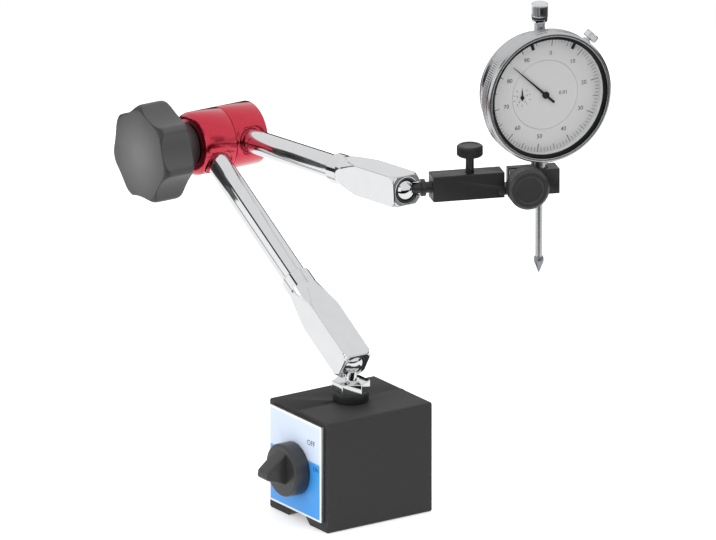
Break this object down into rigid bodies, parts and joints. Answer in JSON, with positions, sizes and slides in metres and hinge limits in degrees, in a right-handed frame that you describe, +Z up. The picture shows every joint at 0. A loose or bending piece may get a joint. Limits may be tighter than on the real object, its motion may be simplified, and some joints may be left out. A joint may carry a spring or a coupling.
{
  "type": "magnetic dial indicator stand",
  "caption": "Switchable magnet base with a jointed two-arm stand, a star locking knob on a red elbow hub, a fine-adjust clamp and a round dial indicator.",
  "frame": {"origin": "middle of the magnet base's underside", "axes": "+Z up, -Y out of the switch plate, +X across the plate to the right as seen by a person facing the plate"},
  "size_m": [0.2093, 0.1628, 0.25],
  "materials": {
    "black_paint": "matte black paint on ground steel",
    "brass": "turned brass",
    "magnet": "sintered magnet",
    "steel": "turned steel",
    "plate_blue": "printed plate, pale above and blue below",
    "black_plastic": "moulded black plastic",
    "chrome": "polished chrome plate",
    "red_anodised": "bright red anodising",
    "black_oxide": "black oxide on steel",
    "satin_chrome": "satin chrome plate",
    "crystal": "clear flat crystal",
    "seal": "black seal",
    "dial_white": "pale matte dial paint",
    "hand_black": "black painted hands"
  },
  "bodies": {
    "base": {"pole_left": "black_paint", "pole_right": "black_paint", "pole_spacers": "brass", "front_plate": "plate_blue", "rear_cover": "black_paint", "stud_collar": "black_oxide", "base_stud": "chrome"},
    "switch": {"switch_knob": "black_plastic", "switch_shaft": "steel", "magnet_core": "magnet"},
    "lower_ball": {"base_ball": "chrome"},
    "lower_arm": {"lower_sleeve": "chrome", "lower_rod": "chrome", "lower_push_rod": "steel", "lower_ball_seat": "brass", "hub_near": "red_anodised", "thrust_washer": "brass"},
    "locking_knob": {"star_knob": "black_plastic", "knob_insert": "brass"},
    "locking_bolt": {"wedge_bolt": "steel"},
    "upper_arm": {"hub_far": "red_anodised", "upper_rod": "chrome", "upper_sleeve": "chrome", "upper_push_rod": "steel", "upper_ball_seat": "brass"},
    "upper_ball": {"holder_ball": "chrome"},
    "holder": {"holder_stud": "black_oxide", "holder_bar": "black_oxide"},
    "thumbscrew": {"fine_screw": "black_oxide"},
    "clamp": {"clamp_block": "black_oxide"},
    "clamp_handle": {"clamp_knob": "black_plastic", "clamp_screw": "steel"},
    "indicator": {"dial_case": "satin_chrome", "back_cover": "satin_chrome", "back_screws": "steel", "movement_plate": "brass", "dial_stem": "satin_chrome", "upper_bush": "satin_chrome", "dust_cap": "chrome", "centre_disc": "dial_white"},
    "bezel_ring": {"bezel": "chrome", "crystal": "crystal", "crystal_seal": "seal", "scale_ring": "dial_white"},
    "limit_left": {"limit_hand_left": "hand_black"},
    "limit_right": {"limit_hand_right": "hand_black"},
    "bezel_lock": {"bezel_screw": "chrome"},
    "plunger": {"spindle": "satin_chrome", "contact_point": "steel"},
    "main_hand": {"pointer": "hand_black"},
    "counter_hand": {"small_hand": "hand_black"}
  },
  "joints": [
    {"name": "switch_turn", "type": "hinge", "parent": "base", "child": "switch", "pos_m": [0, 0, 0.027], "axis": [0, -1, 0], "range_deg": [0, 90]},
    {"name": "base_swivel", "type": "hinge", "parent": "base", "child": "lower_ball", "pos_m": [0, 0, 0.075], "axis": [0, 0, 1], "continuous": true},
    {"name": "base_tilt", "type": "hinge", "parent": "lower_ball", "child": "lower_arm", "pos_m": [0, 0, 0.075], "axis": [0, 1, 0], "range_deg": [-30, 72]},
    {"name": "locking_knob_turn", "type": "hinge", "parent": "lower_arm", "child": "locking_knob", "pos_m": [-0.12599, 0, 0.15151], "axis": [0, -1, 0], "range_deg": [0, 180]},
    {"name": "locking_bolt_draw", "type": "slide", "parent": "lower_arm", "child": "locking_bolt", "axis": [0, 1, 0], "range_m": [0, 0.00076]},
    {"name": "elbow", "type": "hinge", "parent": "lower_arm", "child": "upper_arm", "pos_m": [-0.12599, 0, 0.15151], "axis": [0, -1, 0], "range_deg": [-35, 140]},
    {"name": "holder_swing", "type": "hinge", "parent": "upper_arm", "child": "upper_ball", "pos_m": [0.01703, 0.018, 0.16201], "axis": [-0.0732, 0, 0.9973], "range_deg": [-82, 19]},
    {"name": "holder_roll", "type": "hinge", "parent": "upper_ball", "child": "holder", "pos_m": [0.01703, 0.018, 0.16201], "axis": [0.3551, 0.9348, 0], "continuous": true},
    {"name": "thumbscrew_turn", "type": "hinge", "parent": "holder", "child": "thumbscrew", "pos_m": [0.02875, 0.04885, 0.16201], "axis": [0, 0, -1], "range_deg": [-40, 400]},
    {"name": "clamp_tilt", "type": "hinge", "parent": "holder", "child": "clamp", "pos_m": [0.034, 0.06269, 0.15861], "axis": [0.9348, -0.3551, 0], "range_deg": [0, 3]},
    {"name": "clamp_handle_turn", "type": "hinge", "parent": "clamp", "child": "clamp_handle", "pos_m": [0.0378, 0.07269, 0.16201], "axis": [0.9348, -0.3551, 0], "range_deg": [0, 360]},
    {"name": "indicator_swivel", "type": "hinge", "parent": "clamp", "child": "indicator", "pos_m": [0.04082, 0.08063, 0.16201], "axis": [0, 0, 1], "continuous": true},
    {"name": "bezel_turn", "type": "hinge", "parent": "indicator", "child": "bezel_ring", "pos_m": [0.04082, 0.08063, 0.20601], "axis": [-0.9848, 0.1736, 0], "continuous": true},
    {"name": "limit_left_turn", "type": "hinge", "parent": "bezel_ring", "child": "limit_left", "pos_m": [0.04082, 0.08063, 0.20601], "axis": [-0.9848, 0.1736, 0], "range_deg": [-60, 35]},
    {"name": "limit_right_turn", "type": "hinge", "parent": "bezel_ring", "child": "limit_right", "pos_m": [0.04082, 0.08063, 0.20601], "axis": [-0.9848, 0.1736, 0], "range_deg": [-35, 60]},
    {"name": "bezel_lock_turn", "type": "hinge", "parent": "indicator", "child": "bezel_lock", "pos_m": [0.04141, 0.08053, 0.20601], "axis": [0.129, 0.7319, 0.6691], "range_deg": [0, 360]},
    {"name": "plunger_slide", "type": "slide", "parent": "indicator", "child": "plunger", "axis": [0, 0, 1], "range_m": [0, 0.01], "stiffness_N_per_m": 50, "springref_m": -0.015},
    {"name": "main_hand_turn", "type": "hinge", "parent": "indicator", "child": "main_hand", "pos_m": [0.04082, 0.08063, 0.20601], "axis": [-0.9848, 0.1736, 0], "range_deg": [-200, 3800]},
    {"name": "counter_hand_turn", "type": "hinge", "parent": "indicator", "child": "counter_hand", "pos_m": [0.03874, 0.06882, 0.20601], "axis": [-0.9848, 0.1736, 0], "range_deg": [-380, 20]}
  ],
  "couplings": [
    {"joint": "locking_bolt_draw", "follows": "locking_knob_turn", "m_per_rad": 0.00023873},
    {"joint": "thumbscrew_turn", "follows": "clamp_tilt", "ratio": 116.24},
    {"joint": "main_hand_turn", "follows": "plunger_slide", "rad_per_m": 6283.2},
    {"joint": "counter_hand_turn", "follows": "plunger_slide", "rad_per_m": -628.32}
  ]
}
